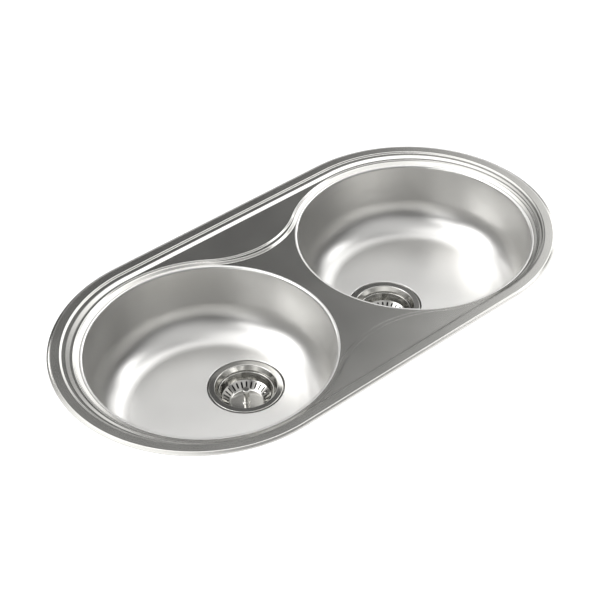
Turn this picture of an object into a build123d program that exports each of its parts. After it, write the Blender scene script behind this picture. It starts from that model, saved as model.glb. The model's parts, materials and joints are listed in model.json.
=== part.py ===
from build123d import *
from math import atan, cos, degrees, pi, radians, sin
import os

os.makedirs("parts", exist_ok=True)

# Inset kitchen sink with two round bowls, in millimetres.
# Z = 0 is the top of the worktop that the rim lies on; the front is towards -Y.

# Rim and deck pressing
overall_length = 840.0
overall_width = 440.0
sheet = 0.8
rim_height = 3.0
rim_edge = sheet
rim_bevel = 4.5
brim_width = 13.0
brim_slope = 3.0
ledge_drop = 1.5
panel_drop = 1.6
border_drop = 1.4
deck_drop = 2.1
blank_depth = 12.0

# Bowls: margins run from the rim's edge to the bowl walls, and the gap lies between the two
bowl_end_margin = 45.0
bowl_rear_margin = 50.5
bowl_front_margin = 33.5
bowl_gap = 38.0
bowl_flange_width = 4.3
bowl_lip_bevel = 2.4
bowl_depth = 112.4
bowl_wall_taper = 8.0
bowl_corner_radius = 53.0

# Frame of the sunken field, measured outwards from the bowl walls
field_rear_margin = 16.5
field_front_margin = 11.0
field_end_margin = 15.5
field_rear_slope = 7.0
field_front_slope = 1.5
field_end_slope = 6.0

# Raised panels between the bowls: the border slopes down twice, and the lower slope is
# widest behind the bowls and at the ends, because its upper line is off the bowls' axes
border_offset = 13.5
border_rear_reach = 126.2
border_front_reach = 132.5
border_slope = 2.4
border_clearance = 0.3
step_offset = 9.2
step_rear_reach = 118.2
step_front_reach = 124.5
step_shift = 1.2
step_foot_offset = 4.6
step_foot_rear_reach = 115.0
step_foot_front_reach = 121.5

# Rim seal and worktop cut-out
seal_inset = 5.5
seal_width = 6.0
cutout_inset = 12.5

# Strainer waste
strainer_sheet = 1.0
flange_radius = 55.0
flange_ring_width = 9.0
flange_edge_drop = 0.9
recess_gap = 0.9
recess_depth = 4.0
recess_slope = 1.8
recess_rim = 0.6
recess_corner_gap = 0.7
waste_hole_radius = 45.5
throat_radius = 42.2
throat_depth = 7.0
cup_foot_radius = 39.5
cup_depth = 41.0
cup_corner = 4.0
drain_hole_radius = 4.5
drain_circle_radius = 15.0
drain_hole_count = 6

# Basket, stopper and post
basket_rim_depth = 9.0
basket_depth = 31.0
basket_rim_radius = 41.6
basket_wall_radius = 40.0
basket_shoulder_radius = 36.5
basket_shoulder_rise = 9.0
basket_floor_radius = 24.5
basket_rim_drop = 0.6
slot_count = 28
slot_width = 2.6
slot_inner_radius = 26.3
slot_outer_radius = 35.0
post_radius = 4.4
post_collar_radius = 7.0
post_collar_height = 1.6
post_height = 24.5
post_head_radius = 6.0
post_head_height = 4.2
post_head_bevel = 1.2
pin_radius = 3.0
turning_clearance = 0.05
stopper_radius = 27.0
stopper_web = 3.0
stopper_lip_width = 3.5
stopper_lip_bevel = 1.2
retainer_radius = 5.2
retainer_thickness = 0.8

# Clamping of the strainer: screw, insert, body and gasket
screw_shank_radius = 4.0
screw_head_radius = 8.0
screw_head_height = 5.0
screw_head_bevel = 1.2
screw_length = 19.0
screw_hole_clearance = 0.4
socket_depth = 4.0
insert_radius = 5.6
insert_length = 14.0
hub_wall = 3.0
hub_length = 22.0
rib_count = 4
rib_thickness = 3.0
rib_drop = 2.0
body_gasket_thickness = 3.0
body_wall = 3.0
body_flange_radius = 54.5
body_bore_radius = 46.2
body_shoulder_gap = 1.0
body_cone_drop = 15.0
outlet_radius = 23.9
outlet_length = 26.0

# Sound-deadening pads under the bowls
pad_length = 110.0
pad_width = 70.0
pad_thickness = 2.5
pad_corner_radius = 12.0
pad_gap = 12.0

# Clamps that hold the sink to the worktop
clamp_straight_x = 105.0
clamp_end_angle = 45.0
bracket_gap = 1.5
bracket_sheet = 1.6
bracket_width = 18.0
bracket_height = 28.0
bracket_foot = 18.0
bracket_bend_radius = 2.0
clamp_screw_offset = 10.0
clamp_screw_radius = 2.5
clamp_screw_length = 33.0
clamp_screw_clearance = 0.4
clamp_head_width = 8.0
clamp_head_height = 3.2
clamp_slot_width = 1.2
clamp_slot_depth = 1.4
clamp_nut_width = 8.0
clamp_nut_height = 4.0
clamp_screw_above_nut = 1.0
claw_sheet = 1.8
claw_width = 14.0
claw_reach = 21.0
claw_heel = 11.0
claw_toe_height = 8.0
claw_heel_height = 4.5
claw_bend_radius = 2.4

# Levels of the pressing's upper side
ledge_level = rim_height - ledge_drop
panel_level = ledge_level - panel_drop
border_level = panel_level - border_drop
deck_level = border_level - deck_drop
floor_level = deck_level - bowl_depth

# The bowls are round, so the tighter of the two ways sets their size
across_radius = (overall_width - bowl_rear_margin - bowl_front_margin) / 2
along_radius = (overall_length - 2 * bowl_end_margin - bowl_gap) / 4
bowl_mouth_radius = min(across_radius, along_radius)
bowl_flange_radius = bowl_mouth_radius + bowl_flange_width
bowl_foot_radius = bowl_mouth_radius - bowl_wall_taper
bowl_x = overall_length / 2 - bowl_end_margin - bowl_mouth_radius
bowl_y = (bowl_front_margin - bowl_rear_margin) / 2

# The strainer's recess lies as near to the sink's middle as the bowl's corner lets it
recess_radius = flange_radius + recess_gap
recess_top_radius = recess_radius + recess_slope
recess_edge_radius = recess_top_radius + recess_rim
corner_centre_radius = bowl_foot_radius - bowl_corner_radius
strainer_offset = corner_centre_radius - recess_corner_gap - recess_edge_radius
strainer_x = bowl_x - strainer_offset

# Levels of the waste
recess_level = floor_level - recess_depth
flange_level = floor_level
cup_level = flange_level - cup_depth
basket_level = flange_level - basket_depth
basket_underside = basket_level - strainer_sheet
basket_rim_level = flange_level - basket_rim_depth
screw_head_level = cup_level + screw_head_height
body_top_level = recess_level - sheet - body_gasket_thickness
hub_level = cup_level - strainer_sheet
body_shoulder_level = hub_level - body_shoulder_gap
body_cone_level = body_shoulder_level - body_cone_drop
outlet_level = body_cone_level - outlet_length


def section_plane(x, y):
    """Upright plane through a bowl or waste axis: across the sink and up."""
    return Plane(origin=(x, y, 0), x_dir=(1, 0, 0), z_dir=(0, -1, 0))


def upright_axis(x, y):
    return Axis((x, y, 0), (0, 0, 1))


def radial_planes(x, y, count):
    """Upright planes that fan out from an axis: X points away from it."""
    planes = []
    for step in range(count):
        angle = 2 * pi * step / count
        away = (cos(angle), sin(angle), 0)
        planes.append(Plane(origin=(x, y, 0), x_dir=away, z_dir=(away[1], -away[0], 0)))
    return planes


def sheet_section(line, thickness):
    """Corners of a bent sheet's section: the line, and the same line moved to its right."""
    corners = [Vector(*point) for point in line]
    ways = [(end - start).normalized() for start, end in zip(corners, corners[1:])]
    sides = [Vector(way.Y, -way.X) for way in ways]
    moved = [corners[0] + sides[0] * thickness]
    for corner, before, after in zip(corners[1:-1], sides, sides[1:]):
        mitre = (before + after).normalized()
        moved.append(corner + mitre * (thickness / mitre.dot(before)))
    moved.append(corners[-1] + sides[-1] * thickness)
    return corners + moved[::-1]


def reach_arc_radius(circle_radius, circle_x, reach):
    """Radius of the hollow arc that touches both circles and comes within reach of their line."""
    return (reach**2 + circle_x**2 - circle_radius**2) / (2 * (circle_radius - reach))


def waist_outline(circle_radius, rear_reach, front_reach, shift=0.0):
    """Two circles round the bowls, joined by a hollow arc behind and one in front.

    The circles stand off the bowls' axes by the shift, outwards and to the rear.
    """
    circle_x = bowl_x + shift
    circle_y = bowl_y + shift
    rear_gap = rear_reach - shift
    front_gap = front_reach + shift
    rear_radius = reach_arc_radius(circle_radius, circle_x, rear_gap)
    front_radius = reach_arc_radius(circle_radius, circle_x, front_gap)
    rear_share = circle_radius / (circle_radius + rear_radius)
    front_share = circle_radius / (circle_radius + front_radius)
    rear_x = circle_x * (1 - rear_share)
    rear_y = circle_y + (rear_gap + rear_radius) * rear_share
    front_x = circle_x * (1 - front_share)
    front_y = circle_y - (front_gap + front_radius) * front_share
    end_x = circle_x + circle_radius
    with BuildSketch() as outline:
        with BuildLine():
            ThreePointArc((-rear_x, rear_y), (0, bowl_y + rear_reach), (rear_x, rear_y))
            ThreePointArc((rear_x, rear_y), (end_x, circle_y), (front_x, front_y))
            ThreePointArc((front_x, front_y), (0, bowl_y - front_reach), (-front_x, front_y))
            ThreePointArc((-front_x, front_y), (-end_x, circle_y), (-rear_x, rear_y))
        make_face()
    return outline.sketch


def clamp_planes():
    """Planes on the worktop cut-out's edge: X points out of the sink, Z up."""
    end_x = (overall_length - overall_width) / 2
    end_radius = overall_width / 2
    planes = []
    for side in (1, -1):
        for x in (-clamp_straight_x, clamp_straight_x):
            edge = (x, side * end_radius, 0)
            planes.append(Plane(origin=edge, x_dir=(0, side, 0), z_dir=(0, 0, 1)))
    for across in (1, -1):
        for side in (1, -1):
            angle = radians(clamp_end_angle)
            outward = (across * cos(angle), side * sin(angle), 0)
            edge = (across * end_x + end_radius * outward[0], end_radius * outward[1], 0)
            planes.append(Plane(origin=edge, x_dir=outward, z_dir=(0, 0, 1)))
    return planes


# Deck pressing
border_top = waist_outline(bowl_mouth_radius + border_offset, border_rear_reach, border_front_reach)
step_top = waist_outline(
    bowl_mouth_radius + step_offset,
    step_rear_reach,
    step_front_reach,
    step_shift,
)
step_foot = waist_outline(
    bowl_mouth_radius + step_foot_offset,
    step_foot_rear_reach,
    step_foot_front_reach,
)
border_taper = degrees(atan(border_slope / border_drop))
field_width = 2 * bowl_mouth_radius + field_rear_margin + field_front_margin
field_length = 2 * (bowl_x + bowl_mouth_radius + field_end_margin)
field_y = bowl_y + (field_rear_margin - field_front_margin) / 2
ledge_width = field_width + field_rear_slope + field_front_slope
ledge_length = field_length + 2 * field_end_slope
ledge_y = field_y + (field_rear_slope - field_front_slope) / 2
brim_inset = rim_bevel + brim_width

with BuildPart() as pressing_blank:
    with BuildSketch(Plane.XY.offset(-blank_depth)):
        SlotOverall(overall_length, overall_width)
    extrude(amount=blank_depth + rim_edge)
    with BuildSketch(Plane.XY.offset(rim_edge)):
        SlotOverall(overall_length, overall_width)
    with BuildSketch(Plane.XY.offset(rim_height)):
        SlotOverall(overall_length - 2 * rim_bevel, overall_width - 2 * rim_bevel)
    loft()
    with BuildSketch(Plane.XY.offset(rim_height)):
        SlotOverall(overall_length - 2 * brim_inset, overall_width - 2 * brim_inset)
    with BuildSketch(Plane.XY.offset(ledge_level)):
        slope_inset = brim_inset + brim_slope
        SlotOverall(overall_length - 2 * slope_inset, overall_width - 2 * slope_inset)
    loft(mode=Mode.SUBTRACT)
    with BuildSketch(Plane.XY.offset(ledge_level)):
        with Locations((0, ledge_y)):
            SlotOverall(ledge_length, ledge_width)
    with BuildSketch(Plane.XY.offset(panel_level)):
        with Locations((0, field_y)):
            SlotOverall(field_length, field_width)
    loft(mode=Mode.SUBTRACT)
    with BuildSketch(Plane.XY.offset(panel_level)):
        add(border_top)
        with Locations((0, field_y)):
            SlotOverall(
                field_length - 2 * border_clearance,
                field_width - 2 * border_clearance,
                mode=Mode.INTERSECT,
            )
    extrude(amount=-border_drop, taper=border_taper, mode=Mode.SUBTRACT)
    with BuildSketch(Plane.XY.offset(border_level)):
        add(step_top)
    with BuildSketch(Plane.XY.offset(deck_level)):
        add(step_foot)
    loft(ruled=True, mode=Mode.SUBTRACT)

with BuildPart() as deck:
    add(pressing_blank.part)
    add(pressing_blank.part.moved(Location((0, 0, -sheet))), mode=Mode.SUBTRACT)
    with BuildSketch(Plane.XY.offset(rim_height)):
        with Locations((-bowl_x, bowl_y), (bowl_x, bowl_y)):
            Circle(bowl_flange_radius)
    extrude(amount=-blank_depth, mode=Mode.SUBTRACT)
deck.part.label = "deck"
export_step(deck.part, "parts/deck.step")

# Foam seal between the brim and the worktop
with BuildPart() as rim_seal:
    with BuildSketch():
        SlotOverall(overall_length - 2 * seal_inset, overall_width - 2 * seal_inset)
        inner_inset = seal_inset + seal_width
        SlotOverall(
            overall_length - 2 * inner_inset,
            overall_width - 2 * inner_inset,
            mode=Mode.SUBTRACT,
        )
    extrude(amount=rim_height - sheet)
rim_seal.part.label = "rim_seal"
export_step(rim_seal.part, "parts/rim_seal.step")

for side_name, side in (("left", -1), ("right", 1)):
    centre_x = side * bowl_x
    waste_x = side * strainer_x
    bowl_section = section_plane(centre_x, bowl_y)
    bowl_axis = upright_axis(centre_x, bowl_y)
    waste_section = section_plane(waste_x, bowl_y)
    waste_axis = upright_axis(waste_x, bowl_y)

    # Deep-drawn bowl with a dished recess for the strainer
    with BuildPart() as bowl:
        with BuildSketch(bowl_section):
            with BuildLine():
                FilletPolyline(
                    (0, floor_level),
                    (bowl_foot_radius, floor_level),
                    (bowl_mouth_radius, deck_level - bowl_lip_bevel),
                    (bowl_mouth_radius + bowl_lip_bevel, deck_level),
                    (bowl_flange_radius, deck_level),
                    radius=(bowl_corner_radius, 0, 0),
                )
                offset(amount=sheet, side=Side.RIGHT)
            make_face()
        revolve(axis=bowl_axis)
        with BuildSketch(Plane.XY.offset(floor_level)):
            with Locations((waste_x, bowl_y)):
                Circle(recess_edge_radius)
        extrude(amount=-sheet, mode=Mode.SUBTRACT)
        with BuildSketch(waste_section):
            with BuildLine():
                Polyline(
                    (waste_hole_radius, recess_level),
                    (recess_radius, recess_level),
                    (recess_top_radius, floor_level),
                    (recess_edge_radius, floor_level),
                    (recess_edge_radius, floor_level - sheet),
                    (recess_top_radius, floor_level - sheet),
                    (recess_radius, recess_level - sheet),
                    (waste_hole_radius, recess_level - sheet),
                    close=True,
                )
            make_face()
        revolve(axis=waste_axis)
    bowl.part.label = f"{side_name}_bowl"
    export_step(bowl.part, f"parts/{side_name}_bowl.step")

    # Sound-deadening pad, stuck under the floor beside the recess
    pad_edge = strainer_offset - recess_edge_radius - pad_gap
    with BuildPart() as sound_pad:
        with BuildSketch(Plane.XY.offset(floor_level - sheet)):
            with Locations((side * (bowl_x - pad_edge + pad_width / 2), bowl_y)):
                RectangleRounded(pad_width, pad_length, pad_corner_radius)
        extrude(amount=-pad_thickness)
    sound_pad.part.label = f"{side_name}_sound_pad"
    export_step(sound_pad.part, f"parts/{side_name}_sound_pad.step")

    # Strainer cup with its flange, pressed from one sheet, with a ring of drain holes
    flange_inner_radius = flange_radius - flange_ring_width
    with BuildPart() as strainer_cup:
        cup_line = [
            (0, cup_level),
            (cup_foot_radius - cup_corner, cup_level),
            (cup_foot_radius, cup_level + cup_corner),
            (throat_radius, flange_level - throat_depth),
            (flange_inner_radius, flange_level),
            (flange_radius - flange_edge_drop, flange_level),
            (flange_radius, flange_level - flange_edge_drop),
        ]
        with BuildSketch(waste_section):
            with BuildLine():
                Polyline(*sheet_section(cup_line, strainer_sheet), close=True)
            make_face()
        revolve(axis=waste_axis)
        with BuildSketch(Plane.XY.offset(cup_level)):
            with Locations((waste_x, bowl_y)):
                Circle(screw_shank_radius + screw_hole_clearance)
                with PolarLocations(drain_circle_radius, drain_hole_count):
                    Circle(drain_hole_radius)
        extrude(amount=-strainer_sheet, mode=Mode.SUBTRACT)
    strainer_cup.part.label = f"{side_name}_strainer_cup"
    export_step(strainer_cup.part, f"parts/{side_name}_strainer_cup.step")

    # Thin seal under the strainer flange
    with BuildPart() as flange_seal:
        with BuildSketch(Plane.XY.offset(recess_level)):
            with Locations((waste_x, bowl_y)):
                Circle(flange_radius - flange_edge_drop - strainer_sheet)
                Circle(flange_inner_radius + strainer_sheet, mode=Mode.SUBTRACT)
        extrude(amount=recess_depth - strainer_sheet)
    flange_seal.part.label = f"{side_name}_flange_seal"
    export_step(flange_seal.part, f"parts/{side_name}_flange_seal.step")

    # Thick gasket between the bowl's underside and the waste body
    with BuildPart() as body_gasket:
        with BuildSketch(Plane.XY.offset(body_top_level)):
            with Locations((waste_x, bowl_y)):
                Circle(body_flange_radius)
                Circle(body_bore_radius, mode=Mode.SUBTRACT)
        extrude(amount=body_gasket_thickness)
    body_gasket.part.label = f"{side_name}_body_gasket"
    export_step(body_gasket.part, f"parts/{side_name}_body_gasket.step")

    # Moulded waste body: flange, funnel, outlet, and a hub on ribs for the screw insert
    with BuildPart() as waste_body:
        body_line = [
            (outlet_radius - body_wall, outlet_level),
            (outlet_radius - body_wall, body_cone_level),
            (body_bore_radius, body_shoulder_level),
            (body_bore_radius, body_top_level),
            (body_flange_radius, body_top_level),
        ]
        with BuildSketch(waste_section):
            with BuildLine():
                Polyline(*sheet_section(body_line, body_wall), close=True)
            make_face()
        revolve(axis=waste_axis)
        with BuildSketch(Plane.XY.offset(hub_level - hub_length)):
            with Locations((waste_x, bowl_y)):
                Circle(insert_radius + hub_wall)
        extrude(amount=hub_length)
        with BuildSketch(*radial_planes(waste_x, bowl_y, rib_count)):
            with BuildLine():
                Polyline(
                    (insert_radius, body_shoulder_level - rib_drop),
                    (body_bore_radius, body_shoulder_level - rib_drop),
                    (outlet_radius - body_wall / 2, body_cone_level),
                    (insert_radius, body_cone_level),
                    close=True,
                )
            make_face()
        extrude(amount=rib_thickness / 2, both=True)
        with BuildSketch(Plane.XY.offset(hub_level)):
            with Locations((waste_x, bowl_y)):
                Circle(insert_radius)
        extrude(amount=-hub_length, mode=Mode.SUBTRACT)
    waste_body.part.label = f"{side_name}_waste_body"
    export_step(waste_body.part, f"parts/{side_name}_waste_body.step")

    # Threaded insert held in the hub
    with BuildPart() as screw_insert:
        with BuildSketch(Plane.XY.offset(hub_level)):
            with Locations((waste_x, bowl_y)):
                Circle(insert_radius)
                Circle(screw_shank_radius, mode=Mode.SUBTRACT)
        extrude(amount=-insert_length)
    screw_insert.part.label = f"{side_name}_screw_insert"
    export_step(screw_insert.part, f"parts/{side_name}_screw_insert.step")

    # Screw that draws the cup and the body together; its head has a socket for the post
    with BuildPart() as strainer_screw:
        with BuildSketch(Plane.XY.offset(cup_level)):
            with Locations((waste_x, bowl_y)):
                Circle(screw_head_radius)
        extrude(amount=screw_head_height)
        chamfer(strainer_screw.edges().sort_by(Axis.Z)[-1], screw_head_bevel)
        with BuildSketch(Plane.XY.offset(cup_level)):
            with Locations((waste_x, bowl_y)):
                Circle(screw_shank_radius)
        extrude(amount=-screw_length)
        with BuildSketch(Plane.XY.offset(screw_head_level)):
            with Locations((waste_x, bowl_y)):
                Circle(pin_radius + turning_clearance)
        extrude(amount=-socket_depth, mode=Mode.SUBTRACT)
    strainer_screw.part.label = f"{side_name}_strainer_screw"
    export_step(strainer_screw.part, f"parts/{side_name}_strainer_screw.step")

    # Basket: pressed cup with a rolled rim and a ring of slots round its foot
    with BuildPart() as basket:
        basket_line = [
            (0, basket_level),
            (basket_floor_radius, basket_level),
            (basket_shoulder_radius, basket_level + basket_shoulder_rise),
            (basket_wall_radius, basket_rim_level),
            (basket_rim_radius, basket_rim_level),
            (basket_rim_radius, basket_rim_level - basket_rim_drop),
        ]
        with BuildSketch(waste_section):
            with BuildLine():
                Polyline(*sheet_section(basket_line, strainer_sheet), close=True)
            make_face()
        revolve(axis=waste_axis)
        with BuildSketch(Plane.XY.offset(basket_rim_level)):
            with Locations((waste_x, bowl_y)):
                with PolarLocations((slot_inner_radius + slot_outer_radius) / 2, slot_count):
                    Rectangle(slot_outer_radius - slot_inner_radius, slot_width)
        extrude(amount=-basket_depth, mode=Mode.SUBTRACT)
        with BuildSketch(Plane.XY.offset(basket_level)):
            with Locations((waste_x, bowl_y)):
                Circle(pin_radius)
        extrude(amount=-strainer_sheet, mode=Mode.SUBTRACT)
    basket.part.label = f"{side_name}_basket"
    export_step(basket.part, f"parts/{side_name}_basket.step")

    # Post: the knob that lifts the basket, riveted through its floor, with a pin below
    pin_level = screw_head_level - socket_depth + 2 * turning_clearance
    post_top_level = basket_level + post_height
    post_neck_level = post_top_level - post_head_height
    with BuildPart() as post:
        with BuildSketch(waste_section):
            with BuildLine():
                Polyline(
                    (0, pin_level),
                    (pin_radius, pin_level),
                    (pin_radius, basket_level),
                    (post_collar_radius, basket_level),
                    (post_collar_radius, basket_level + post_collar_height),
                    (post_radius, basket_level + post_collar_height),
                    (post_radius, post_neck_level),
                    (post_head_radius, post_neck_level + post_head_bevel),
                    (post_head_radius, post_top_level - post_head_bevel),
                    (post_head_radius - post_head_bevel, post_top_level),
                    (0, post_top_level),
                    close=True,
                )
            make_face()
        revolve(axis=waste_axis)
    post.part.label = f"{side_name}_post"
    export_step(post.part, f"parts/{side_name}_post.step")

    # Rubber stopper: a web that turns on the pin and a lip that seals on the cup's floor
    with BuildPart() as stopper:
        with BuildSketch(waste_section):
            with BuildLine():
                Polyline(
                    (pin_radius + turning_clearance, basket_underside - stopper_web),
                    (stopper_radius - stopper_lip_width, basket_underside - stopper_web),
                    (stopper_radius - stopper_lip_bevel, cup_level),
                    (stopper_radius, cup_level + stopper_lip_bevel),
                    (stopper_radius - stopper_lip_bevel, basket_underside),
                    (pin_radius + turning_clearance, basket_underside),
                    close=True,
                )
            make_face()
        revolve(axis=waste_axis)
    stopper.part.label = f"{side_name}_stopper"
    export_step(stopper.part, f"parts/{side_name}_stopper.step")

    # Retaining washer under the stopper's web
    retainer_level = basket_underside - stopper_web
    with BuildPart() as retainer:
        with BuildSketch(Plane.XY.offset(retainer_level)):
            with Locations((waste_x, bowl_y)):
                Circle(retainer_radius)
                Circle(pin_radius, mode=Mode.SUBTRACT)
        extrude(amount=-retainer_thickness)
    retainer.part.label = f"{side_name}_retainer"
    export_step(retainer.part, f"parts/{side_name}_retainer.step")

# Brackets: folded tabs welded under the brim, with a foot for the clamping screw
bracket_top = rim_height - sheet
bracket_inset = cutout_inset + bracket_gap
screw_inset = bracket_inset + clamp_screw_offset
foot_level = bracket_top - bracket_height
nut_level = foot_level + bracket_sheet
screw_end_level = nut_level + clamp_nut_height + clamp_screw_above_nut
claw_level = screw_end_level - clamp_screw_length
with BuildPart() as clamp_brackets:
    for station in clamp_planes():
        profile_plane = Plane(origin=station.origin, x_dir=station.x_dir, z_dir=-station.y_dir)
        with BuildSketch(profile_plane):
            with BuildLine():
                FilletPolyline(
                    (-bracket_inset, bracket_top),
                    (-bracket_inset, foot_level),
                    (-bracket_inset - bracket_foot, foot_level),
                    radius=bracket_bend_radius,
                )
                offset(amount=bracket_sheet, side=Side.RIGHT)
            make_face()
        extrude(amount=bracket_width / 2, both=True)
        with BuildSketch(station.offset(foot_level)):
            with Locations((-screw_inset, 0)):
                Circle(clamp_screw_radius + clamp_screw_clearance)
        extrude(amount=bracket_sheet, mode=Mode.SUBTRACT)
clamp_brackets.part.label = "clamp_brackets"
export_step(clamp_brackets.part, "parts/clamp_brackets.step")

# Nuts welded on the brackets' feet
with BuildPart() as clamp_nuts:
    for station in clamp_planes():
        with BuildSketch(station.offset(nut_level)):
            with Locations((-screw_inset, 0)):
                RegularPolygon(clamp_nut_width / 2, 6, major_radius=False)
                Circle(clamp_screw_radius + turning_clearance, mode=Mode.SUBTRACT)
        extrude(amount=clamp_nut_height)
clamp_nuts.part.label = "clamp_nuts"
export_step(clamp_nuts.part, "parts/clamp_nuts.step")

for number, station in enumerate(clamp_planes(), start=1):
    pivot = station.from_local_coords((-screw_inset, 0, claw_level))
    pivot_plane = Plane(origin=pivot, x_dir=station.x_dir, z_dir=(0, 0, 1))

    # Screw: its slotted head is below, so that it is turned from underneath
    with BuildPart() as clamp_screw:
        with BuildSketch(pivot_plane):
            Circle(clamp_screw_radius)
        extrude(amount=clamp_screw_length)
        with BuildSketch(pivot_plane):
            RegularPolygon(clamp_head_width / 2, 6, major_radius=False)
        extrude(amount=-clamp_head_height)
        with BuildSketch(pivot_plane.offset(-clamp_head_height)):
            Rectangle(2 * clamp_head_width, clamp_slot_width)
        extrude(amount=clamp_slot_depth, mode=Mode.SUBTRACT)
    clamp_screw.part.label = f"clamp_screw_{number}"
    export_step(clamp_screw.part, f"parts/clamp_screw_{number}.step")

    # Claw: it rests on the screw's head, stowed along the rim, and turns out under the worktop
    with BuildPart() as clamp_claw:
        with BuildSketch(Plane(origin=pivot, x_dir=station.y_dir, z_dir=station.x_dir)):
            with BuildLine():
                FilletPolyline(
                    (-claw_heel, claw_heel_height),
                    (-claw_heel, 0),
                    (claw_reach, 0),
                    (claw_reach, claw_toe_height),
                    radius=claw_bend_radius,
                )
                offset(amount=claw_sheet, side=Side.LEFT)
            make_face()
        extrude(amount=claw_width / 2, both=True)
        with BuildSketch(pivot_plane):
            Circle(clamp_screw_radius + turning_clearance)
        extrude(amount=claw_toe_height, mode=Mode.SUBTRACT)
    clamp_claw.part.label = f"clamp_claw_{number}"
    export_step(clamp_claw.part, f"parts/clamp_claw_{number}.step")
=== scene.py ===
import json
import math

import bpy
import numpy as np
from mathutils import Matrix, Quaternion, Vector
from mathutils.geometry import delaunay_2d_cdt


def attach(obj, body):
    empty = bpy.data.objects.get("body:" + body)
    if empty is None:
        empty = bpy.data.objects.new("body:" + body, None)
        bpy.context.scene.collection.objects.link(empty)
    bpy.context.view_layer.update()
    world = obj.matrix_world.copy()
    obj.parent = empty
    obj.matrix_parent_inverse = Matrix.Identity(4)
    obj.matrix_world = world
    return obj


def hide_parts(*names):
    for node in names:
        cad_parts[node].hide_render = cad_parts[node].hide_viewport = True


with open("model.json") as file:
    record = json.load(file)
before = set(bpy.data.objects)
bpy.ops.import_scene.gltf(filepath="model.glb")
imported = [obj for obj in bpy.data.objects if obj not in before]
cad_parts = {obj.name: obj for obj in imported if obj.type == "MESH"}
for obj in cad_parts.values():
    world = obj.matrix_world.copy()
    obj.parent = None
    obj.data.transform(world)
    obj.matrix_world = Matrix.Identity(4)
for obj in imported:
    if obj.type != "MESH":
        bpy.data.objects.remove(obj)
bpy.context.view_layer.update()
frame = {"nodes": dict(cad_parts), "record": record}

# Sizes are in millimetres, as in the CAD source; meshes are made in metres.
MM = 0.001
AROUND = 256

# Rim: the insets run from its outer edge
RIM_LENGTH, RIM_WIDTH = 840.0, 440.0
SHEET = 0.8
BEVEL_INSET, BRIM_INSET, LEDGE_INSET = 4.5, 17.5, 20.5
FIELD_END, FIELD_REAR, FIELD_FRONT = 29.5, 34.0, 22.5
SLOPE_END, SLOPE_REAR, SLOPE_FRONT = 6.0, 7.0, 1.5

# Bowls
REAR_MARGIN, FRONT_MARGIN, BOWL_GAP = 50.5, 33.5, 38.0
BOWL_MOUTH = (RIM_WIDTH - REAR_MARGIN - FRONT_MARGIN) / 2
BOWL_X = BOWL_MOUTH + BOWL_GAP / 2
BOWL_Y = (FRONT_MARGIN - REAR_MARGIN) / 2
BOWL_FLANGE = BOWL_MOUTH + 4.3
BOWL_FOOT = BOWL_MOUTH - 8.0
BOWL_CORNER, BOWL_LIP = 53.0, 3.6
FLOOR_FLAT = 120.5
WASTE_X = 139.0

# Levels
RIM_TOP, LEDGE, PANEL, BORDER, DECK = 3.0, 1.5, -0.1, -1.5, -3.6
BOWL_FLOOR = -116.0
RECESS_FLOOR = BOWL_FLOOR - 4.0
CUP_FLOOR = BOWL_FLOOR - 41.0
BASKET_RIM = BOWL_FLOOR - 9.0
BASKET_FLOOR = BOWL_FLOOR - 31.0
POST_TOP = BASKET_FLOOR + 24.5
PIN_END = -155.9
STAGE_LEVEL = -203.5


# ---------------------------------------------------------------- mesh helpers


class Shape:
    """Faces with a normal of their own at every corner point."""

    def __init__(self):
        self.points = []
        self.normals = []
        self.faces = []

    def add(self, points, normals, faces):
        base = len(self.points)
        self.points.extend(tuple(p) for p in points)
        self.normals.extend(tuple(n) for n in normals)
        for face in faces:
            corners = [points[i] for i in face]
            across = np.cross(
                np.subtract(corners[1], corners[0]), np.subtract(corners[-1], corners[0])
            )
            facing = sum(float(np.dot(across, normals[i])) for i in face)
            order = face if facing >= 0 else face[::-1]
            self.faces.append([base + i for i in order])

    def grid(self, points, normals):
        """Quads between rows of points that close on themselves."""
        rows, columns = points.shape[:2]
        faces = []
        for row in range(rows - 1):
            for column in range(columns):
                side = (column + 1) % columns
                here, above = row * columns, (row + 1) * columns
                faces.append([here + column, here + side, above + side, above + column])
        self.add(points.reshape(-1, 3), normals.reshape(-1, 3), faces)

    def make(self, name, node, body, slot):
        """A piece with this name, which replaces the CAD node and rides on the body."""
        mesh = bpy.data.meshes.new(name)
        mesh.from_pydata((np.array(self.points) * MM).tolist(), [], self.faces)
        mesh.shade_smooth()
        mesh.normals_split_custom_set_from_vertices(self.normals)
        mesh.validate(clean_customdata=False)
        piece = bpy.data.objects.new(name, mesh)
        bpy.context.scene.collection.objects.link(piece)
        piece.data.materials.append(MATERIALS[slot])
        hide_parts(node)
        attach(piece, body)


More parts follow.
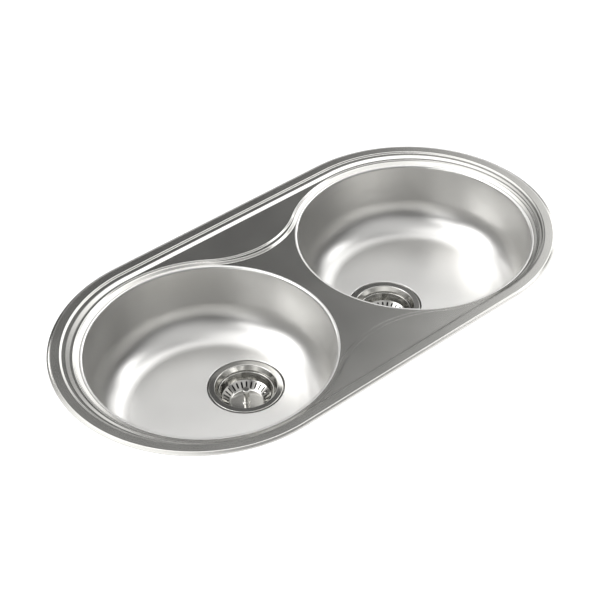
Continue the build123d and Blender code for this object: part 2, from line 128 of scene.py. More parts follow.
def rounded_path(corners, radii, side=1):
    """Points and normals along a line with rounded corners: side 1 faces left of its way."""
    points, normals = [], []
    count = len(corners)
    ways = []
    for start, end in zip(corners[:-1], corners[1:]):
        way = np.subtract(end, start)
        ways.append(way / np.linalg.norm(way))

    def put(point, way):
        points.append(np.array(point, float))
        normals.append(np.array((-way[1], way[0])) * side)

    put(corners[0], ways[0])
    for i in range(1, count - 1):
        radius = radii[i - 1]
        before, after = ways[i - 1], ways[i]
        turn = math.atan2(before[0] * after[1] - before[1] * after[0], float(np.dot(before, after)))
        if radius <= 0 or abs(turn) < 0.01:
            put(corners[i], before)
            put(corners[i], after)
            continue
        setback = radius * math.tan(abs(turn) / 2)
        start = np.array(corners[i]) - before * setback
        left = np.array((-before[1], before[0])) * math.copysign(1, turn)
        centre = start + left * radius
        steps = max(3, int(math.ceil(abs(turn) / math.radians(6))))
        for step in range(steps + 1):
            angle = turn * step / steps
            c, s = math.cos(angle), math.sin(angle)
            way = np.array((before[0] * c - before[1] * s, before[0] * s + before[1] * c))
            out = start - centre
            out = np.array((out[0] * c - out[1] * s, out[0] * s + out[1] * c))
            put(centre + out, way)
    put(corners[-1], ways[-1])
    return np.array(points), np.array(normals)


def lathe(shape, centre, points, normals, around=AROUND):
    """A line of radius and level, turned round an upright axis."""
    turns = np.linspace(0, 2 * math.pi, around, endpoint=False)
    c, s = np.cos(turns), np.sin(turns)
    radius, level = points[:, :1], points[:, 1:]
    ring = np.stack(
        [centre[0] + radius * c, centre[1] + radius * s, level + 0 * c], axis=2
    )
    facing = np.stack(
        [normals[:, :1] * c, normals[:, :1] * s, normals[:, 1:] + 0 * c], axis=2
    )
    shape.grid(ring, facing)


def lathe_shell(shape, centre, corners, radii, thickness, around=AROUND, edges=(True, True)):
    """A turned sheet: its upper side follows the line, and its edges are closed where wanted."""
    points, normals = rounded_path(corners, radii)
    under = points - normals * thickness
    lathe(shape, centre, points, normals, around)
    lathe(shape, centre, under, -normals, around)
    for wanted, end, back in ((edges[0], 0, 1), (edges[1], -1, -2)):
        if wanted:
            rim = np.array([points[end], under[end]])
            out = points[end] - points[back]
            out = out / max(np.linalg.norm(out), 1e-9)
            lathe(shape, centre, rim, np.array([out, out]), around)


def pressed_sheet(shape, lines, inside, height, thickness):
    """A sheet seen in plan: the lines are its edges and creases, and height gives its upper side."""
    points, edges = [], []
    for line in lines:
        base = len(points)
        points.extend(Vector((float(x), float(y))) for x, y in line)
        total = len(line)
        edges.extend((base + i, base + (i + 1) % total) for i in range(total))
    result = delaunay_2d_cdt(points, edges, [], 0, 1e-5, False)
    plan = np.array([tuple(v) for v in result[0]])
    triangles = np.array([f for f in result[2] if len(f) == 3])
    middle = plan[triangles].mean(axis=1)
    triangles = triangles[inside(middle[:, 0], middle[:, 1])]
    x, y = plan[:, 0], plan[:, 1]
    z = height(x, y)
    probe = 0.02
    slope_x = (height(x + probe, y) - height(x - probe, y)) / (2 * probe)
    slope_y = (height(x, y + probe) - height(x, y - probe)) / (2 * probe)
    normals = np.stack([-slope_x, -slope_y, np.ones_like(x)], axis=1)
    normals /= np.linalg.norm(normals, axis=1)[:, None]
    top = np.stack([x, y, z], axis=1)
    under = top - (0, 0, thickness)
    faces = [list(map(int, t)) for t in triangles]
    shape.add(top, normals, faces)
    shape.add(under, -normals, faces)
    uses = {}
    for a, b, c in faces:
        for start, end in ((a, b), (b, c), (c, a)):
            key = (min(start, end), max(start, end))
            uses[key] = uses.get(key, 0) + 1
    facing = {}
    border = [edge for edge, times in uses.items() if times == 1]
    for start, end in border:
        way = plan[end] - plan[start]
        out = np.array((way[1], -way[0]))
        out /= max(np.linalg.norm(out), 1e-9)
        side = (plan[start] + plan[end]) / 2 + out * 0.01
        if inside(side[:1], side[1:])[0]:
            out = -out
        for corner in (start, end):
            facing[corner] = facing.get(corner, np.zeros(2)) + out
    order = {corner: i for i, corner in enumerate(facing)}
    walls, wall_normals = [], []
    for corner, out in facing.items():
        out = out / max(np.linalg.norm(out), 1e-9)
        for level in (top[corner], under[corner]):
            walls.append(level)
            wall_normals.append((out[0], out[1], 0.0))
    faces = [
        [2 * order[a], 2 * order[b], 2 * order[b] + 1, 2 * order[a] + 1] for a, b in border
    ]
    shape.add(walls, wall_normals, faces)


# ---------------------------------------------------------------- plan outlines


def stadium_distance(x, y, length, width, middle_y):
    """Distance from a stadium's outline, negative inside it."""
    straight = (length - width) / 2
    return np.hypot(np.maximum(np.abs(x) - straight, 0), y - middle_y) - width / 2


def stadium_line(length, width, middle_y, grow=0.0):
    straight = (length - width) / 2
    radius = width / 2 + grow
    half = np.linspace(-math.pi / 2, math.pi / 2, 131)
    run = np.linspace(straight, -straight, 62)[1:-1]
    right = np.stack([straight + radius * np.cos(half), middle_y + radius * np.sin(half)], axis=1)
    rear = np.stack([run, np.full_like(run, middle_y + radius)], axis=1)
    left = np.stack([-straight - radius * np.cos(half), middle_y - radius * np.sin(half)], axis=1)
    front = np.stack([-run, np.full_like(run, middle_y - radius)], axis=1)
    return np.concatenate([right, rear, left, front])


def hollow_radius(radius, across, reach):
    """Radius of the hollow arc that touches both circles and comes within reach of their line."""
    return (reach**2 + across**2 - radius**2) / (2 * (radius - reach))


def waist_distance(x, y, radius, rear, front, shift=0.0):
    """Two circles joined by hollow arcs; the shift moves the circles outwards and to the rear."""
    circle_x, circle_y = BOWL_X + shift, BOWL_Y + shift
    across, along = np.abs(x), y - circle_y
    distance = np.hypot(across - circle_x, along) - radius
    for reach, sign in ((rear - shift, 1), (front + shift, -1)):
        hollow = hollow_radius(radius, circle_x, reach)
        level = reach + hollow
        up = along * sign
        in_middle = (across - circle_x) * level + up * circle_x < 0
        near = (up >= 0) & in_middle
        distance = np.where(near, hollow - np.hypot(across, up - level), distance)
    return distance


def arc(centre, radius, start, end, count):
    turns = np.linspace(start, end, count)
    x = centre[0] + radius * np.cos(turns)
    return np.stack([x, centre[1] + radius * np.sin(turns)], axis=1)


def waist_line(radius, rear, front, shift=0.0, grow=0.0):
    """The line at which waist_distance is 0, or grown outwards from it."""
    circle_x, circle_y = BOWL_X + shift, BOWL_Y + shift
    radius, rear, front = radius + grow, rear - shift + grow, front + shift + grow
    rear_hollow = hollow_radius(radius, circle_x, rear)
    front_hollow = hollow_radius(radius, circle_x, front)
    rear_angle = math.atan2(rear + rear_hollow, -circle_x)
    front_angle = math.atan2(-(front + front_hollow), -circle_x)
    rear_spread = math.atan2(circle_x, rear + rear_hollow)
    front_spread = math.atan2(circle_x, front + front_hollow)
    rear_centre = (0, circle_y + rear + rear_hollow)
    front_centre = (0, circle_y - front - front_hollow)
    down, up = -math.pi / 2, math.pi / 2
    return np.concatenate(
        [
            arc((circle_x, circle_y), radius, front_angle, rear_angle, 200),
            arc(rear_centre, rear_hollow, down + rear_spread, down - rear_spread, 44)[1:-1],
            arc((-circle_x, circle_y), radius, math.pi - rear_angle, math.pi - front_angle, 200),
            arc(front_centre, front_hollow, up + front_spread, up - front_spread, 44)[1:-1],
        ]
    )


def circle_line(centre, radius, count=AROUND):
    turns = np.linspace(0, 2 * math.pi, count, endpoint=False)
    return np.stack([centre[0] + radius * np.cos(turns), centre[1] + radius * np.sin(turns)], axis=1)


def soft_rise(distance, softness):
    """A slope of one in one that starts at 0, with its foot rounded."""
    foot = np.clip(distance + softness, 0, 2 * softness)
    return np.where(distance > softness, distance, foot**2 / (4 * softness))


def fall(past_top, past_foot, drop, softness):
    """How far a wall has come down between its upper and its lower line."""
    width = np.maximum(past_top - past_foot, 0.05)
    return drop / width * (soft_rise(past_top, softness) - soft_rise(past_foot, softness))


# ---------------------------------------------------------------- deck pressing


def inset_sizes(end, rear, front):
    """Length, width and middle of a stadium whose edges lie inside the rim by these distances."""
    return RIM_LENGTH - 2 * end, RIM_WIDTH - rear - front, (front - rear) / 2


LEDGE_SIZES = inset_sizes(FIELD_END - SLOPE_END, FIELD_REAR - SLOPE_REAR, FIELD_FRONT - SLOPE_FRONT)
FIELD_SIZES = inset_sizes(FIELD_END, FIELD_REAR, FIELD_FRONT)

# Radius round the bowls, reach behind and in front of them in the middle, and shift
BORDER_SIZES = (BOWL_MOUTH + 13.5, 126.2, 132.5)
STEP_SIZES = (BOWL_MOUTH + 9.2, 118.2, 124.5, 1.2)
STEP_FOOT_SIZES = (BOWL_MOUTH + 4.6, 115.0, 121.5)
BORDER_CLEARANCE, BORDER_SLOPE = 0.3, 2.4

# Half the width over which each crease is rounded
BEVEL_SOFT, BRIM_SOFT, FIELD_SOFT, BORDER_SOFT, STEP_SOFT = 0.9, 0.8, 1.2, 0.6, 0.7


def deck_height(x, y):
    edge = -stadium_distance(x, y, RIM_LENGTH, RIM_WIDTH, 0)
    z = SHEET - fall(edge, edge - BEVEL_INSET, SHEET - RIM_TOP, BEVEL_SOFT)
    z = z - fall(edge - BRIM_INSET, edge - LEDGE_INSET, RIM_TOP - LEDGE, BRIM_SOFT)
    ledge = -stadium_distance(x, y, *LEDGE_SIZES)
    field = -stadium_distance(x, y, *FIELD_SIZES)
    z = z - fall(ledge, field, LEDGE - PANEL, FIELD_SOFT)
    border = np.minimum(-waist_distance(x, y, *BORDER_SIZES), field - BORDER_CLEARANCE)
    z = z - fall(border, border - BORDER_SLOPE, PANEL - BORDER, BORDER_SOFT)
    step_top = -waist_distance(x, y, *STEP_SIZES)
    step_foot = -waist_distance(x, y, *STEP_FOOT_SIZES)
    return z - fall(step_top, step_foot, BORDER - DECK, STEP_SOFT)


def on_deck(x, y):
    inside = stadium_distance(x, y, RIM_LENGTH, RIM_WIDTH, 0) < 0
    for side in (-1, 1):
        inside &= np.hypot(x - side * BOWL_X, y - BOWL_Y) > BOWL_FLANGE * math.cos(math.pi / AROUND)
    return inside


def deck_lines():
    """Lines along every crease, close enough together for its rounding to show.

    Some stand a hair off their place, so that no two lines fall on each other.
    """
    shares = (-1, -0.5, 0, 0.5, 1)
    lines = [stadium_line(RIM_LENGTH, RIM_WIDTH, 0)]
    for inset, soft in ((BEVEL_INSET, BEVEL_SOFT), (BRIM_INSET, BRIM_SOFT), (LEDGE_INSET, BRIM_SOFT)):
        for share in shares:
            lines.append(stadium_line(RIM_LENGTH, RIM_WIDTH, 0, -inset - share * soft))
    for share in shares:
        apart = 0.02 if share == 0 else 0
        lines.append(stadium_line(*LEDGE_SIZES, grow=share * FIELD_SOFT))
        lines.append(stadium_line(*FIELD_SIZES, grow=share * FIELD_SOFT + apart))
    for inset in (0.9, 1.5, 2.1, 2.4, 2.7, 3.0, 3.3):
        lines.append(stadium_line(*FIELD_SIZES, grow=-inset - 0.013))
    for inset in (-0.6, -0.3, 0, 0.3, 0.6, 1.2, 1.8, 2.1, 2.4, 2.7, 3.0):
        lines.append(waist_line(*BORDER_SIZES, grow=-inset))
    for share in shares:
        lines.append(waist_line(*STEP_SIZES, grow=-share * STEP_SOFT))
        lines.append(waist_line(*STEP_FOOT_SIZES, grow=-share * STEP_SOFT))
    for side in (-1, 1):
        lines.append(circle_line((side * BOWL_X, BOWL_Y), BOWL_FLANGE))
    return lines


def make_deck():
    deck = Shape()
    pressed_sheet(deck, deck_lines(), on_deck, deck_height, SHEET)
    deck.make("deck_pressing", "deck", "sink", "deck_steel")


# ---------------------------------------------------------------- materials


class Nodes:
    """Short ways to add shader nodes to one tree."""

    def __init__(self, tree):
        self.tree = tree
        tree.nodes.clear()

    def add(self, kind, **settings):
        node = self.tree.nodes.new(kind)
        for key, value in settings.items():
            setattr(node, key, value)
        return node

    def link(self, start, end):
        self.tree.links.new(start, end)

    def math(self, operation, a, b):
        node = self.add("ShaderNodeMath", operation=operation)
        for socket, value in zip(node.inputs, (a, b)):
            if isinstance(value, (int, float)):
                socket.default_value = value
            else:
                self.link(value, socket)
        return node.outputs[0]

    def spread(self, value, from_low, from_high, to_low, to_high, smooth=False):
        node = self.add("ShaderNodeMapRange")
        if smooth:
            node.interpolation_type = "SMOOTHSTEP"
        self.link(value, node.inputs["Value"])
        node.inputs["From Min"].default_value = from_low
        node.inputs["From Max"].default_value = from_high
        node.inputs["To Min"].default_value = to_low
        node.inputs["To Max"].default_value = to_high
        return node.outputs["Result"]

    def object_point(self):
        return self.add("ShaderNodeTexCoord").outputs["Object"]

    def noise(self, point, scale, detail=2.0, roughness=0.5):
        node = self.add("ShaderNodeTexNoise")
        node.inputs["Scale"].default_value = scale
        node.inputs["Detail"].default_value = detail
        node.inputs["Roughness"].default_value = roughness
        self.link(point, node.inputs["Vector"])
        return node.outputs["Fac"]

    def tint(self, value, low, high):
        node = self.add("ShaderNodeMix", data_type="RGBA")
        self.link(value, node.inputs["Factor"])
        node.inputs["A"].default_value = (*low, 1)
        node.inputs["B"].default_value = (*high, 1)
        return node.outputs["Result"]

    def bump(self, value, depth):
        node = self.add("ShaderNodeBump")
        node.inputs["Distance"].default_value = depth
        self.link(value, node.inputs["Height"])
        return node.outputs["Normal"]


def new_material(name):
    material = bpy.data.materials.new(name)
    material.use_nodes = True
    nodes = Nodes(material.node_tree)
    shader = nodes.add("ShaderNodeBsdfPrincipled")
    output = nodes.add("ShaderNodeOutputMaterial")
    nodes.link(shader.outputs["BSDF"], output.inputs["Surface"])
    return material, nodes, shader


def steel(name, low, high, rough_low, rough_high, grain, grain_depth):
    """Stainless steel: a cloudy polish over fine grain."""
    material, nodes, shader = new_material(name)
    point = nodes.object_point()
    cloud = nodes.noise(point, 14, 3)
    fine = nodes.noise(point, grain, 3, 0.6)
    nodes.link(nodes.tint(cloud, low, high), shader.inputs["Base Color"])
    shader.inputs["Metallic"].default_value = 1.0
    blend = nodes.math("ADD", nodes.math("MULTIPLY", cloud, 0.6), nodes.math("MULTIPLY", fine, 0.4))
    nodes.link(nodes.spread(blend, 0.3, 0.7, rough_low, rough_high), shader.inputs["Roughness"])
    nodes.link(nodes.bump(fine, grain_depth), shader.inputs["Normal"])
    return material


def plain(name, low, high, roughness, scale, depth, metallic=0.0, specular=0.5):
    """A surface with grain: rubber, foam, moulded plastic, plating, turned brass or a soft pad."""
    material, nodes, shader = new_material(name)
    grain = nodes.noise(nodes.object_point(), scale, 4, 0.6)
    nodes.link(nodes.tint(grain, low, high), shader.inputs["Base Color"])
    shader.inputs["Metallic"].default_value = metallic
    shader.inputs["Specular IOR Level"].default_value = specular
    spread = nodes.spread(grain, 0.3, 0.7, roughness - 0.06, roughness + 0.06)
    nodes.link(spread, shader.inputs["Roughness"])
    nodes.link(nodes.bump(grain, depth), shader.inputs["Normal"])
    return material


MATERIALS = {
    "deck_steel": steel("deck_steel", (0.455, 0.45, 0.43), (0.485, 0.48, 0.46), 0.18, 0.21, 1100, 6e-8),
    "bowl_steel": steel("bowl_steel", (0.645, 0.64, 0.625), (0.675, 0.67, 0.655), 0.32, 0.36, 700, 1e-6),
    "polished_steel": steel("polished_steel", (0.475, 0.47, 0.45), (0.515, 0.51, 0.49), 0.1, 0.14, 900, 1e-7),
    "plated_steel": plain("plated_steel", (0.36, 0.37, 0.39), (0.44, 0.45, 0.46), 0.36, 500, 2e-5, 1.0),
    "black_rubber": plain("black_rubber", (0.018, 0.018, 0.018), (0.03, 0.03, 0.03), 0.6, 900, 3e-5),
    "seal_foam": plain("seal_foam", (0.05, 0.05, 0.052), (0.12, 0.12, 0.125), 0.9, 1400, 2e-4, specular=0.2),
    "grey_plastic": plain("grey_plastic", (0.44, 0.44, 0.43), (0.48, 0.48, 0.47), 0.42, 600, 2e-5),
    "brass": plain("brass", (0.62, 0.45, 0.18), (0.72, 0.54, 0.26), 0.28, 900, 1e-5, 1.0),
    "sound_pad": plain("sound_pad", (0.035, 0.035, 0.038), (0.07, 0.07, 0.075), 0.8, 350, 3e-4, specular=0.3),
}


# ---------------------------------------------------------------- bowls

WASTE_HOLE, RECESS_FOOT, RECESS_TOP, RECESS_EDGE = 45.5, 55.9, 57.4, 58.3
RECESS_CORNER = 1.0


def make_bowl(side_name, side):
    """Turned wall and corner, a turned recess for the strainer, and the flat floor between the two."""
    bowl_axis, waste_axis = (side * BOWL_X, BOWL_Y), (side * WASTE_X, BOWL_Y)
    bowl = Shape()
    wall = [
        (FLOOR_FLAT, BOWL_FLOOR),
        (BOWL_FOOT, BOWL_FLOOR),
        (BOWL_MOUTH, DECK),
        (BOWL_FLANGE, DECK),
    ]
    lathe_shell(bowl, bowl_axis, wall, (BOWL_CORNER, BOWL_LIP), SHEET, edges=(False, True))
    recess = [
        (WASTE_HOLE, RECESS_FLOOR),
        (RECESS_FOOT, RECESS_FLOOR),
        (RECESS_TOP, BOWL_FLOOR),
        (RECESS_EDGE, BOWL_FLOOR),
    ]
    corners = (RECESS_CORNER, RECESS_CORNER)
    lathe_shell(bowl, waste_axis, recess, corners, SHEET, edges=(True, False))
    for level, facing in ((BOWL_FLOOR, 1.0), (BOWL_FLOOR - SHEET, -1.0)):
        rings = []
        for centre, radius in ((bowl_axis, FLOOR_FLAT), (waste_axis, RECESS_EDGE)):
            line = circle_line(centre, radius)
            rings.append(np.column_stack([line, np.full(AROUND, level)]))
        rings = np.array(rings)
        normals = np.zeros_like(rings)
        normals[:, :, 2] = facing
        bowl.grid(rings, normals)
    bowl.make(f"{side_name}_drawn_bowl", f"{side_name}_bowl", "sink", "bowl_steel")


# ---------------------------------------------------------------- strainer cups

STRAINER_SHEET = 1.0
CUP_AROUND, HOLE_AROUND = 160, 48
CUP_FLAT, CUP_FOOT, CUP_THROAT, CUP_MOUTH, CUP_FLANGE = 24.0, 39.5, 42.2, 46.0, 55.0
THROAT_DEPTH, FLANGE_LIP = 7.0, 1.9
CUP_CORNERS = (5, 1.5, 1.5, 0.9)
SCREW_HOLE, DRAIN_HOLE, DRAIN_CIRCLE, DRAINS = 4.4, 4.5, 15, 6


def make_cup(side_name, side):
    """Turned walls, and a floor with the screw's hole and the drain holes."""
    axis = (side * WASTE_X, BOWL_Y)
    cup = Shape()
    wall = [
        (CUP_FLAT, CUP_FLOOR),
        (CUP_FOOT, CUP_FLOOR),
        (CUP_THROAT, BOWL_FLOOR - THROAT_DEPTH),
        (CUP_MOUTH, BOWL_FLOOR),
        (CUP_FLANGE, BOWL_FLOOR),
        (CUP_FLANGE, BOWL_FLOOR - FLANGE_LIP),
    ]
    lathe_shell(cup, axis, wall, CUP_CORNERS, STRAINER_SHEET, CUP_AROUND, edges=(False, True))
    drains = []
    for k in range(DRAINS):
        angle = 2 * math.pi * k / DRAINS
        drains.append((axis[0] + DRAIN_CIRCLE * math.cos(angle), axis[1] + DRAIN_CIRCLE * math.sin(angle)))

    def on_floor(x, y):
        inside = np.hypot(x - axis[0], y - axis[1]) > SCREW_HOLE * 0.999
        for drain in drains:
            inside &= np.hypot(x - drain[0], y - drain[1]) > DRAIN_HOLE * 0.998
        return inside

    lines = [circle_line(axis, CUP_FLAT, CUP_AROUND), circle_line(axis, SCREW_HOLE, HOLE_AROUND)]
    lines += [circle_line(drain, DRAIN_HOLE, HOLE_AROUND) for drain in drains]
    pressed_sheet(cup, lines, on_floor, lambda x, y: np.full_like(x, CUP_FLOOR), STRAINER_SHEET)
    cup.make(f"{side_name}_strainer_shell", f"{side_name}_strainer_cup", "sink", "polished_steel")


# ---------------------------------------------------------------- baskets

BASKET_AROUND = 168
BASKET_FLAT, CONE_EDGE, SHOULDER, BASKET_WALL, BASKET_EDGE = 24.5, 36.0, 36.9, 40.0, 41.6
CONE_RISE, SHOULDER_RISE, BASKET_LIP = 8.6, 9.3, 1.2
CONE_SOFT = 1.2
BASKET_CORNERS = (1.5, 0.7, 0.6)
SLOTS, SLOT_HALF, SLOT_START, SLOT_END = 28, 1.3, 27.6, 33.7
PIN_RADIUS = 3.0


def make_basket(side_name, side):
    """A slotted floor and cone, with a turned wall and rim."""
    axis = (side * WASTE_X, BOWL_Y)
    basket = Shape()
    wall = [
        (CONE_EDGE, BASKET_FLOOR + CONE_RISE),
        (SHOULDER, BASKET_FLOOR + SHOULDER_RISE),
        (BASKET_WALL, BASKET_RIM),
        (BASKET_EDGE, BASKET_RIM),
        (BASKET_EDGE, BASKET_RIM - BASKET_LIP),
    ]
    lathe_shell(basket, axis, wall, BASKET_CORNERS, STRAINER_SHEET, BASKET_AROUND, edges=(False, True))

    def height(x, y):
        past = np.hypot(x - axis[0], y - axis[1]) - BASKET_FLAT
        return BASKET_FLOOR + CONE_RISE / (CONE_EDGE - BASKET_FLAT) * soft_rise(past, CONE_SOFT)

    angles = [2 * math.pi * k / SLOTS for k in range(SLOTS)]
    slots = []
    for angle in angles:
        along = np.array((math.cos(angle), math.sin(angle)))
        across = np.array((-along[1], along[0]))
        ends = []
        for middle, start in ((SLOT_END, -math.pi / 2), (SLOT_START, math.pi / 2)):
            for turn in np.linspace(start, start + math.pi, 7):
                out = along * (middle + SLOT_HALF * math.cos(turn))
                ends.append(out + across * SLOT_HALF * math.sin(turn))
        slots.append(np.array(ends) + axis)

    def on_floor(x, y):
        away_x, away_y = x - axis[0], y - axis[1]
        inside = np.hypot(away_x, away_y) > PIN_RADIUS
        for angle in angles:
            out = away_x * math.cos(angle) + away_y * math.sin(angle)
            off = away_y * math.cos(angle) - away_x * math.sin(angle)
            near = np.hypot(out - np.clip(out, SLOT_START, SLOT_END), off)
            inside &= near > SLOT_HALF * 0.97
        return inside

    lines = [circle_line(axis, CONE_EDGE, BASKET_AROUND), circle_line(axis, PIN_RADIUS, 32)]
    for share in (-1, -0.5, 0, 0.5, 1):
        lines.append(circle_line(axis, BASKET_FLAT + share * CONE_SOFT, 112))
    pressed_sheet(basket, lines + slots, on_floor, height, STRAINER_SHEET)
    basket.make(
        f"{side_name}_slotted_basket", f"{side_name}_basket", f"{side_name}_strainer", "polished_steel"
    )


# ---------------------------------------------------------------- posts and stoppers

COLLAR_RADIUS, COLLAR_HEIGHT = 7.0, 1.6
POST_RADIUS, HEAD_RADIUS, HEAD_HEIGHT, HEAD_BEVEL = 4.4, 6.0, 4.2, 1.2
POST_CORNERS = (0.5, 0, 0, 0.6, 0.8, 0.8, 0.8, 1.3)
STOPPER_GAP, STOPPER_RADIUS, WEB_TOP, WEB_FOOT = 0.05, 27.0, 1.0, 4.0
LIP_INSIDE, LIP_FOOT = 23.5, 25.6
STOPPER_CORNERS = (1.5, 0.5, 0.7, 1.6, 0.2)


def make_post(side_name, side):
    """A turned knob with a collar, riveted through the basket."""
    corners = [
        (0.0, PIN_END),
        (PIN_RADIUS, PIN_END),
        (PIN_RADIUS, BASKET_FLOOR),
        (COLLAR_RADIUS, BASKET_FLOOR),
        (COLLAR_RADIUS, BASKET_FLOOR + COLLAR_HEIGHT),
        (POST_RADIUS, BASKET_FLOOR + COLLAR_HEIGHT),
        (POST_RADIUS, POST_TOP - HEAD_HEIGHT),
        (HEAD_RADIUS, POST_TOP - HEAD_HEIGHT + HEAD_BEVEL),
        (HEAD_RADIUS, POST_TOP),
        (0.0, POST_TOP),
    ]
    post = Shape()
    points, normals = rounded_path(corners, POST_CORNERS, side=-1)
    lathe(post, (side * WASTE_X, BOWL_Y), points, normals, 64)
    post.make(f"{side_name}_turned_post", f"{side_name}_post", f"{side_name}_strainer", "polished_steel")


def make_stopper(side_name, side):
    """A moulded rubber web with a lip that stands on the cup's floor."""
    inside = PIN_RADIUS + STOPPER_GAP
    corners = [
        (inside, BASKET_FLOOR - WEB_FOOT),
        (LIP_INSIDE, BASKET_FLOOR - WEB_FOOT),
        (LIP_FOOT, CUP_FLOOR),
        (STOPPER_RADIUS, CUP_FLOOR),
        (STOPPER_RADIUS, BASKET_FLOOR - WEB_TOP),
        (inside, BASKET_FLOOR - WEB_TOP),
        (inside, BASKET_FLOOR - WEB_FOOT),
    ]
    stopper = Shape()
    points, normals = rounded_path(corners, STOPPER_CORNERS, side=-1)
    lathe(stopper, (side * WASTE_X, BOWL_Y), points, normals, 96)
    stopper.make(f"{side_name}_moulded_stopper", f"{side_name}_stopper", f"{side_name}_plug", "black_rubber")


make_deck()
for side_name, side in (("left", -1), ("right", 1)):
    for make_piece in (make_bowl, make_cup, make_basket, make_post, make_stopper):
        make_piece(side_name, side)


# ---------------------------------------------------------------- CAD nodes that stay

slot_of = {part["node"]: part["material_slot"] for part in frame["record"]["subparts"]}
for name, node in frame["nodes"].items():
    for index in range(len(node.data.materials)):
        node.data.materials[index] = MATERIALS[slot_of[name]]


# ---------------------------------------------------------------- stage

STAGE_HALF = 30000.0
# A pale sheet at the near side of the rim covers the underside in the main view
COVER_SHIFT = (-31.0, -37.0)
COVER_HOLE, COVER_REACH = -12.5, 3.0
COVER_LEVEL, COVER_SHEET = -0.1, 0.3


def stage_white():
    material, nodes, shader = new_material("stage_white")
    grain = nodes.noise(nodes.object_point(), 3.0, 2)
    nodes.link(nodes.tint(grain, (0.19, 0.19, 0.19), (0.21, 0.21, 0.21)), shader.inputs["Base Color"])
    shader.inputs["Roughness"].default_value = 0.9
    shader.inputs["Emission Color"].default_value = (1, 1, 1, 1)
    shader.inputs["Emission Strength"].default_value = 0.95
    return material


def add_stage(name, points, faces, material):
    mesh = bpy.data.meshes.new(name)
    mesh.from_pydata((np.array(points) * MM).tolist(), [], faces)
    piece = bpy.data.objects.new(name, mesh)
    bpy.context.scene.collection.objects.link(piece)
    mesh.materials.append(material)


def on_cover(x, y):
    shifted = stadium_distance(x - COVER_SHIFT[0], y - COVER_SHIFT[1], RIM_LENGTH, RIM_WIDTH, 0)
    return (shifted < COVER_REACH) & (stadium_distance(x, y, RIM_LENGTH, RIM_WIDTH, 0) > COVER_HOLE)


stage_material = stage_white()
floor_corners = ((-1, -1), (1, -1), (1, 1), (-1, 1))
floor_points = [(x * STAGE_HALF, y * STAGE_HALF, STAGE_LEVEL) for x, y in floor_corners]
add_stage("floor", floor_points, [(0, 1, 2, 3)], stage_material)

cover = Shape()
cover_lines = [
    stadium_line(RIM_LENGTH, RIM_WIDTH, 0, COVER_HOLE),
    stadium_line(RIM_LENGTH, RIM_WIDTH, 0, COVER_REACH) + COVER_SHIFT,
]
pressed_sheet(cover, cover_lines, on_cover, lambda x, y: np.full_like(x, COVER_LEVEL), COVER_SHEET)
add_stage("worktop", cover.points, cover.faces, stage_material)


# ---------------------------------------------------------------- light

world = bpy.data.worlds.new("studio")
bpy.context.scene.world = world
world.use_nodes = True
sky = Nodes(world.node_tree)
way = sky.add("ShaderNodeTexCoord").outputs["Generated"]
unit = sky.add("ShaderNodeVectorMath", operation="NORMALIZE")
sky.link(way, unit.inputs[0])
parts = sky.add("ShaderNodeSeparateXYZ")
sky.link(unit.outputs["Vector"], parts.inputs[0])


def lobe(azimuth, elevation, inner, outer, low, high):
    """A soft round patch of sky: azimuth turns from +Y towards +X, and all angles are in degrees."""
    a, e = math.radians(azimuth), math.radians(elevation)
    aim = (math.sin(a) * math.cos(e), math.cos(a) * math.cos(e), math.sin(e))
    dot = sky.add("ShaderNodeVectorMath", operation="DOT_PRODUCT")
    sky.link(unit.outputs["Vector"], dot.inputs[0])
    dot.inputs[1].default_value = aim
    edge, core = math.cos(math.radians(outer)), math.cos(math.radians(inner))
    return sky.spread(dot.outputs["Value"], edge, core, low, high, smooth=True)


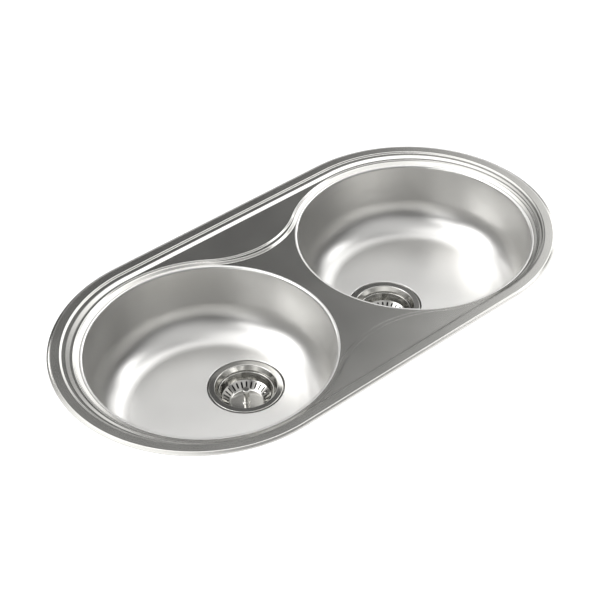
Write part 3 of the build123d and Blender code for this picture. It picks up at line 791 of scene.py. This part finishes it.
# Azimuth, elevation, radius and strength of each soft light. Most of these values were rounded from
# a scratch program's fit to the shading of the photograph, and some were then changed by hand.
LIGHTS = (
    (299, 42, 22, 5.0),
    (327, 61, 37, 2.0),
    (46, 44, 38, 3.4),
    (105, 44, 13, 4.3),
    (79, 19, 12, 4.7),
    (258, 42, 12, 3.2),
    (180, 60, 42, 0.8),
    (350, 20, 12, 5.0),
    (252, 0, 27, 3.5),
)
# The sky's strength above and at the horizon, and the sines of the heights between which it fades
AMBIENT, HORIZON = 0.02, 0.4
HORIZON_TOP, AMBIENT_FROM = 0.06, 0.24
# A black flag in the part of the sky that the deck mirrors: azimuth, elevation, core and edge
FLAG = (34, 38, 2, 24)
FLAG_DEPTH = 0.03

total = sky.spread(parts.outputs["Z"], HORIZON_TOP, AMBIENT_FROM, HORIZON, AMBIENT, smooth=True)
for azimuth, elevation, radius, strength in LIGHTS:
    total = sky.math("ADD", total, lobe(azimuth, elevation, radius / 4, radius, 0.0, strength))
total = sky.math("MULTIPLY", total, lobe(*FLAG, 1.0, FLAG_DEPTH))
background = sky.add("ShaderNodeBackground")
background.inputs["Color"].default_value = (1, 1, 1, 1)
sky.link(total, background.inputs["Strength"])
world_output = sky.add("ShaderNodeOutputWorld")
sky.link(background.outputs[0], world_output.inputs["Surface"])

bpy.context.scene.view_settings.view_transform = "Standard"
bpy.context.scene.view_settings.look = "None"


# ---------------------------------------------------------------- camera

# From a fit to points of the photograph: angles are in degrees, the distance and the target in metres, and
# the lens and its sensor in millimetres. The azimuth turns from the front towards +X, and the roll is about
# the line of sight.
AZIMUTH, ELEVATION, ROLL = math.radians(-39.51), math.radians(39.94), math.radians(-1.39)
DISTANCE = 2.1004
TARGET = Vector((-0.0403, -0.0185, 0.0))
LENS, SENSOR = 87.10, 36.0

side_way, front_way = math.sin(AZIMUTH), -math.cos(AZIMUTH)
back = Vector((side_way * math.cos(ELEVATION), front_way * math.cos(ELEVATION), math.sin(ELEVATION)))
camera_data = bpy.data.cameras.new("camera")
camera_data.lens = LENS
camera_data.sensor_width = SENSOR
camera_data.clip_end = 200.0
camera = bpy.data.objects.new("camera", camera_data)
bpy.context.scene.collection.objects.link(camera)
camera.location = TARGET + back * DISTANCE
camera.rotation_euler = ((-back).to_track_quat("-Z", "Y") @ Quaternion((0, 0, 1), ROLL)).to_euler()
bpy.context.scene.camera = camera
